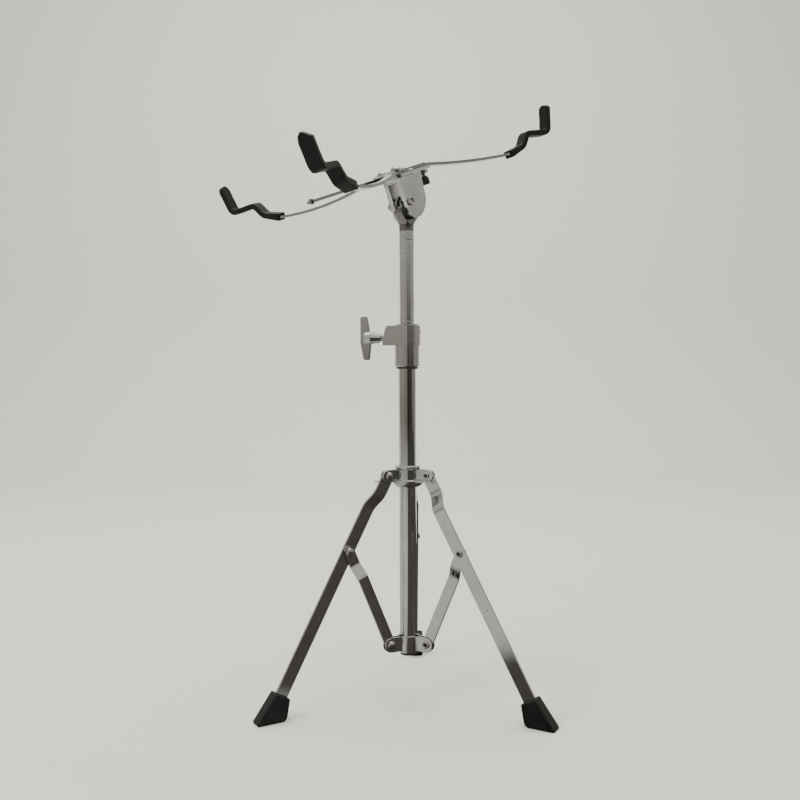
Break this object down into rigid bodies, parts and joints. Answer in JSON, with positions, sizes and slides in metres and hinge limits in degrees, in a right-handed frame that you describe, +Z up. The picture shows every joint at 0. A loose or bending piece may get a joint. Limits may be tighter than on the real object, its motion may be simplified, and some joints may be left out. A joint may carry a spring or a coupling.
{
  "type": "snare drum stand",
  "caption": "Chromed folding tripod stand for a snare drum, with a height tube, a tilting basket of hooked rubber-tipped arms and a wing screw clamp.",
  "frame": {"origin": "centre of the bounding box on the floor plane under the boots", "axes": "+Z up along the column, +X to the right and +Y to the back, with the wing screw towards -X and the sliding arm raised towards +X"},
  "size_m": [0.3964, 0.3996, 0.6799],
  "materials": {
    "chrome": "mirror chrome plate",
    "cast_chrome": "satin chrome plate on cast zinc",
    "rivet_steel": "bright plated steel",
    "screw_steel": "plated steel, slightly dull",
    "black_rubber": "matte",
    "black_plastic": "satin"
  },
  "bodies": {
    "stand_column": {"lower_tube": "chrome", "lower_tube_plug": "black_plastic", "bottom_bracket_1": "chrome", "bottom_bracket_2": "chrome", "bottom_bracket_3": "chrome", "bottom_rivet_1": "rivet_steel", "bottom_rivet_2": "rivet_steel", "bottom_rivet_3": "rivet_steel", "clamp_casting": "cast_chrome", "clamp_bush": "black_plastic", "clamp_ring": "black_plastic"},
    "wing_screw": {"wing_screw_shank": "screw_steel"},
    "wing_grip": {"wing_handle": "cast_chrome"},
    "collar": {"collar_sleeve": "chrome", "collar_segment_1": "chrome", "collar_segment_2": "chrome", "collar_segment_3": "chrome", "collar_rivet_1": "rivet_steel", "collar_rivet_2": "rivet_steel", "collar_rivet_3": "rivet_steel"},
    "leg_unit_1": {"leg_1": "chrome", "boot_1": "black_rubber", "leg_rivet_1": "rivet_steel"},
    "leg_unit_2": {"leg_2": "chrome", "boot_2": "black_rubber", "leg_rivet_2": "rivet_steel"},
    "leg_unit_3": {"leg_3": "chrome", "boot_3": "black_rubber", "leg_rivet_3": "rivet_steel"},
    "brace_unit_1": {"brace_1": "chrome"},
    "brace_unit_2": {"brace_2": "chrome"},
    "brace_unit_3": {"brace_3": "chrome"},
    "height_bush": {"tube_bush": "black_plastic"},
    "mast": {"upper_tube": "chrome", "tilter_base": "cast_chrome"},
    "basket": {"tilter_yoke": "cast_chrome", "tilt_bolt": "rivet_steel", "tilt_nut": "screw_steel", "tilt_stud": "screw_steel", "basket_plate": "chrome", "basket_cover": "chrome", "arm_channel": "chrome", "yoke_screw_1": "rivet_steel", "yoke_screw_2": "rivet_steel", "arm_rivet_left": "rivet_steel", "arm_rivet_front": "rivet_steel", "thumb_boss": "cast_chrome"},
    "thumb_screw": {"thumb_screw_shank": "screw_steel"},
    "thumb_grip": {"thumb_screw_knob": "black_plastic"},
    "left_arm_unit": {"swing_arm_left": "chrome", "sleeve_left": "black_rubber"},
    "front_arm_unit": {"swing_arm_front": "chrome", "sleeve_front": "black_rubber"},
    "sliding_arm_unit": {"sliding_arm": "chrome", "slide_stop": "rivet_steel", "sleeve_sliding": "black_rubber"}
  },
  "joints": [
    {"name": "collar_slide", "type": "slide", "parent": "stand_column", "child": "collar", "axis": [0, 0, 1], "range_m": [0, 0.02066]},
    {"name": "leg_1_fold", "type": "hinge", "parent": "collar", "child": "leg_unit_1", "pos_m": [0.0031, 0.01156, 0.247], "axis": [0.5071, -0.8619, 0], "range_deg": [0, 29]},
    {"name": "brace_1_fold", "type": "hinge", "parent": "leg_unit_1", "child": "brace_unit_1", "pos_m": [-0.03481, -0.01074, 0.16733], "axis": [0.5071, -0.8619, 0], "range_deg": [-51.7, 0]},
    {"name": "leg_2_fold", "type": "hinge", "parent": "collar", "child": "leg_unit_2", "pos_m": [0.04588, 0.01191, 0.247], "axis": [0.4929, 0.8701, 0], "range_deg": [0, 29]},
    {"name": "brace_2_fold", "type": "hinge", "parent": "leg_unit_2", "child": "brace_unit_2", "pos_m": [0.08414, -0.00976, 0.16733], "axis": [0.4929, 0.8701, 0], "range_deg": [-51.7, 0]},
    {"name": "leg_3_fold", "type": "hinge", "parent": "collar", "child": "leg_unit_3", "pos_m": [0.02418, 0.04879, 0.247], "axis": [-1, -0.0082, 0], "range_deg": [0, 29]},
    {"name": "brace_3_fold", "type": "hinge", "parent": "leg_unit_3", "child": "brace_unit_3", "pos_m": [0.02382, 0.09276, 0.16733], "axis": [-1, -0.0082, 0], "range_deg": [-51.7, 0]},
    {"name": "height_slide", "type": "slide", "parent": "stand_column", "child": "height_bush", "axis": [0, 0, 1], "range_m": [-0.1, 0.085]},
    {"name": "swivel", "type": "hinge", "parent": "height_bush", "child": "mast", "pos_m": [0.02439, 0.02409, 0.45], "axis": [0, 0, 1], "continuous": true},
    {"name": "tilt", "type": "hinge", "parent": "mast", "child": "basket", "pos_m": [0.02011, 0.02146, 0.54255], "axis": [0.524, -0.8517, 0], "range_deg": [-45, 30]},
    {"name": "swing_left", "type": "hinge", "parent": "basket", "child": "left_arm_unit", "pos_m": [-0.00105, 0.02523, 0.57021], "axis": [-0.3094, -0.1903, 0.9317], "range_deg": [-30, 50]},
    {"name": "swing_front", "type": "hinge", "parent": "basket", "child": "front_arm_unit", "pos_m": [0.01394, 0.00087, 0.57021], "axis": [-0.3094, -0.1903, 0.9317], "range_deg": [-30, 50]},
    {"name": "arm_slide", "type": "slide", "parent": "basket", "child": "sliding_arm_unit", "axis": [0.7935, 0.4882, 0.3633], "range_m": [0, 0.084]},
    {"name": "thumb_feed", "type": "slide", "parent": "basket", "child": "thumb_screw", "axis": [0.3094, 0.1903, -0.9317], "range_m": [0, 0.0016]},
    {"name": "thumb_turn", "type": "hinge", "parent": "thumb_screw", "child": "thumb_grip", "pos_m": [0.04544, 0.03704, 0.57089], "axis": [-0.3094, -0.1903, 0.9317], "range_deg": [0, 720]},
    {"name": "wing_feed", "type": "slide", "parent": "stand_column", "child": "wing_screw", "axis": [-1, 0, 0], "range_m": [0, 0.0025]},
    {"name": "wing_turn", "type": "hinge", "parent": "wing_screw", "child": "wing_grip", "pos_m": [-0.01561, 0.02409, 0.397], "axis": [-1, 0, 0], "range_deg": [0, 720]}
  ],
  "couplings": [
    {"joint": "leg_1_fold", "follows": "collar_slide", "rad_per_m": 24.414},
    {"joint": "brace_1_fold", "follows": "collar_slide", "rad_per_m": -43.515},
    {"joint": "leg_2_fold", "follows": "collar_slide", "rad_per_m": 24.414},
    {"joint": "brace_2_fold", "follows": "collar_slide", "rad_per_m": -43.515},
    {"joint": "leg_3_fold", "follows": "collar_slide", "rad_per_m": 24.414},
    {"joint": "brace_3_fold", "follows": "collar_slide", "rad_per_m": -43.515},
    {"joint": "thumb_turn", "follows": "thumb_feed", "rad_per_m": 7854},
    {"joint": "wing_turn", "follows": "wing_feed", "rad_per_m": 5026.5}
  ]
}
